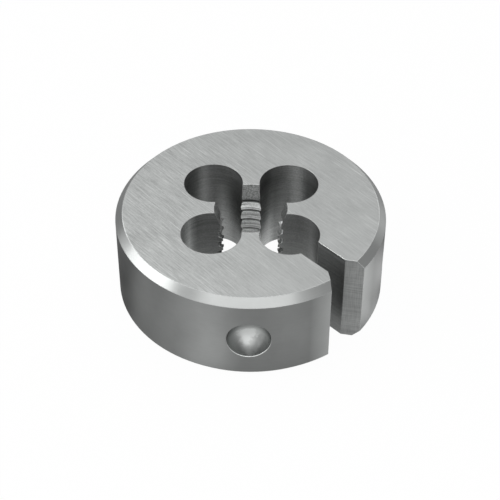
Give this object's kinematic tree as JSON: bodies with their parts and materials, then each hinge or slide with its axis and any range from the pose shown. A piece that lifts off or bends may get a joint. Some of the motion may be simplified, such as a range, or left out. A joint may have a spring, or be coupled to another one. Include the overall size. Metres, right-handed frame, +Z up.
{
  "type": "round threading die",
  "caption": "Round split threading die: a chamfered steel disc with a threaded bore, chip holes that leave cutting lands, an adjusting slot and screw seats in the rim.",
  "frame": {"origin": "middle of the bottom face, on the axis of the bore", "axes": "+Z up the bore to the marked face; cutting lands on the X and Y axes; the adjusting slot runs out at 45 degrees between +X and -Y"},
  "size_m": [0.0254, 0.0254, 0.0095],
  "materials": {
    "tool_steel": "finely ground, bare steel"
  },
  "bodies": {
    "root": {"die_body": "tool_steel"}
  },
  "joints": []
}
